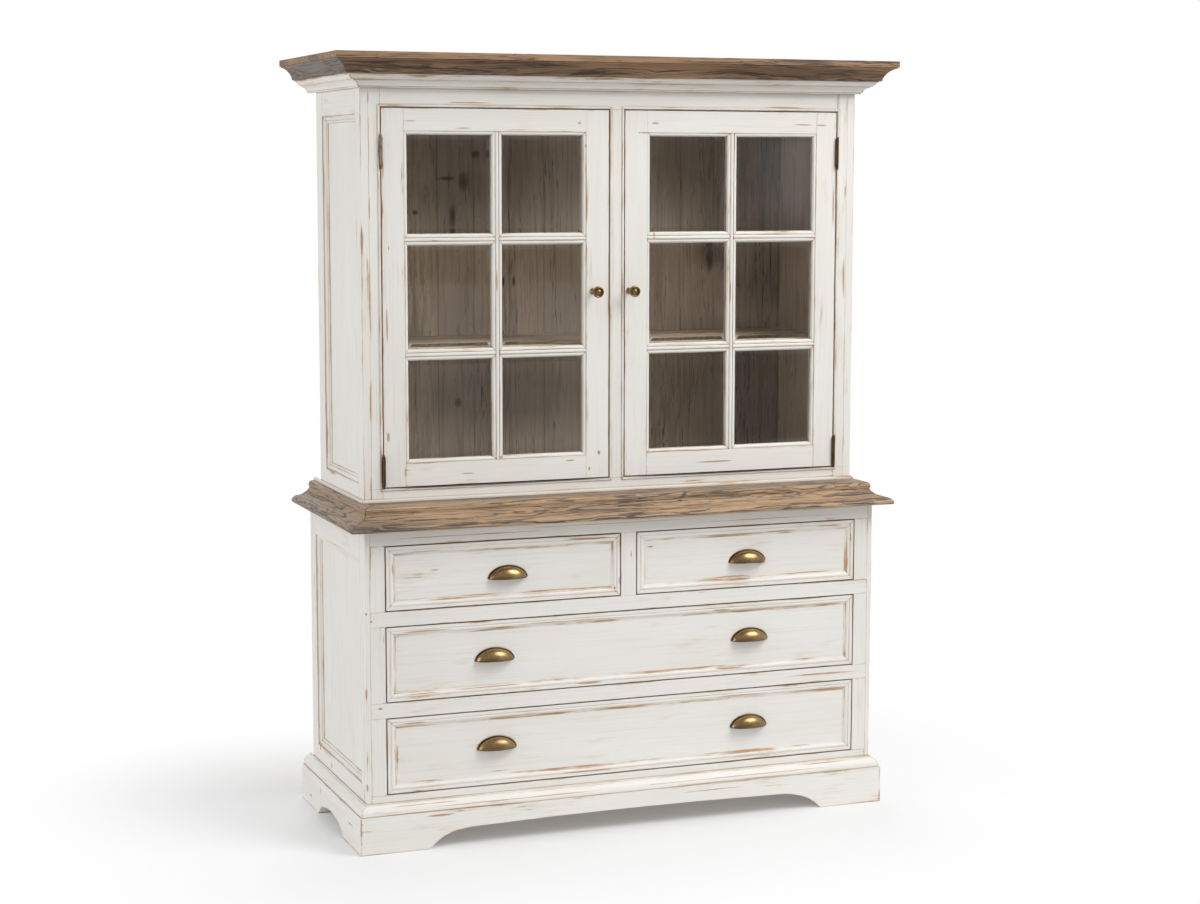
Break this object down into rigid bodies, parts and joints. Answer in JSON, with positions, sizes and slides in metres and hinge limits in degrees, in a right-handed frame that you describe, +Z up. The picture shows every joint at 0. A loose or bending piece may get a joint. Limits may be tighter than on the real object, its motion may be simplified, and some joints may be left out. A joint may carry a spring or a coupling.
{
  "type": "dresser with hutch",
  "caption": "Farmhouse dresser in distressed paint: a chest of drawers with cup pulls under a glazed two-door hutch, with a wooden waist and a moulded crown.",
  "frame": {"origin": "on the floor, under the middle of the overall box", "axes": "+Z up, -Y the front with the doors and drawers, +X to the right as seen from the front"},
  "size_m": [1.612, 0.6519, 2.1],
  "materials": {
    "painted_wood": "off-white paint rubbed through to brown wood on edges and corners",
    "waist_wood": "waxed reclaimed boards, tan with grey streaks",
    "crown_wood": "dark waxed reclaimed wood with cracks",
    "bare_wood": "unpainted greyed boards",
    "glass": "clear, bevelled edge",
    "antique_brass": "dark antique brass, bright where rubbed",
    "hinge_brass": "dull brown brass with paint in the corners"
  },
  "bodies": {
    "cabinet": {"base_face_frame": "painted_wood", "base_side_left": "painted_wood", "base_side_right": "painted_wood", "side_panel_mouldings": "painted_wood", "plinth_front": "painted_wood", "plinth_side_left": "painted_wood", "plinth_side_right": "painted_wood", "plinth_cap_moulding": "painted_wood", "waist_under_strip": "painted_wood", "hutch_side_left": "painted_wood", "hutch_side_right": "painted_wood", "hutch_face_frame": "painted_wood", "door_opening_beads": "painted_wood", "hutch_foot_strip": "painted_wood", "painted_cornice": "painted_wood", "base_back_panel": "bare_wood", "base_floor": "bare_wood", "base_top_board": "bare_wood", "drawer_runners": "bare_wood", "hutch_back_planks": "bare_wood", "hutch_floor": "bare_wood", "hutch_ceiling": "bare_wood", "hutch_shelf_lower": "bare_wood", "hutch_shelf_upper": "bare_wood", "shelf_cleats": "bare_wood", "plinth_rail_and_blocks": "bare_wood", "waist_edge_moulding": "waist_wood", "waist_boards": "waist_wood", "crown_cove": "crown_wood", "crown_top_board": "crown_wood", "hinge_frame_leaves": "hinge_brass", "hinge_pins": "hinge_brass"},
    "door_left": {"door_left_frame": "painted_wood", "door_left_glazing_bars": "painted_wood", "door_left_glass_mouldings": "painted_wood", "door_left_glass": "glass", "door_left_hinge_leaves": "hinge_brass", "door_left_knob": "antique_brass"},
    "door_right": {"door_right_frame": "painted_wood", "door_right_glazing_bars": "painted_wood", "door_right_glass_mouldings": "painted_wood", "door_right_glass": "glass", "door_right_hinge_leaves": "hinge_brass", "door_right_knob": "antique_brass"},
    "drawer_top_left": {"drawer_top_left_front": "painted_wood", "drawer_top_left_box": "bare_wood", "drawer_top_left_bottom": "bare_wood", "drawer_top_left_pull": "antique_brass"},
    "drawer_top_right": {"drawer_top_right_front": "painted_wood", "drawer_top_right_box": "bare_wood", "drawer_top_right_bottom": "bare_wood", "drawer_top_right_pull": "antique_brass"},
    "drawer_middle": {"drawer_middle_front": "painted_wood", "drawer_middle_box": "bare_wood", "drawer_middle_bottom": "bare_wood", "drawer_middle_pull": "antique_brass"},
    "drawer_bottom": {"drawer_bottom_front": "painted_wood", "drawer_bottom_box": "bare_wood", "drawer_bottom_bottom": "bare_wood", "drawer_bottom_pull": "antique_brass"}
  },
  "joints": [
    {"name": "door_left_hinge", "type": "hinge", "parent": "cabinet", "child": "door_left", "pos_m": [-0.6631, -0.1916, 1.425], "axis": [0, 0, 1], "range_deg": [-170, 0]},
    {"name": "door_right_hinge", "type": "hinge", "parent": "cabinet", "child": "door_right", "pos_m": [0.6631, -0.1916, 1.425], "axis": [0, 0, 1], "range_deg": [0, 170]},
    {"name": "drawer_top_left_slide", "type": "slide", "parent": "cabinet", "child": "drawer_top_left", "axis": [0, -1, 0], "range_m": [0, 0.4]},
    {"name": "drawer_top_right_slide", "type": "slide", "parent": "cabinet", "child": "drawer_top_right", "axis": [0, -1, 0], "range_m": [0, 0.4]},
    {"name": "drawer_middle_slide", "type": "slide", "parent": "cabinet", "child": "drawer_middle", "axis": [0, -1, 0], "range_m": [0, 0.4]},
    {"name": "drawer_bottom_slide", "type": "slide", "parent": "cabinet", "child": "drawer_bottom", "axis": [0, -1, 0], "range_m": [0, 0.4]}
  ]
}
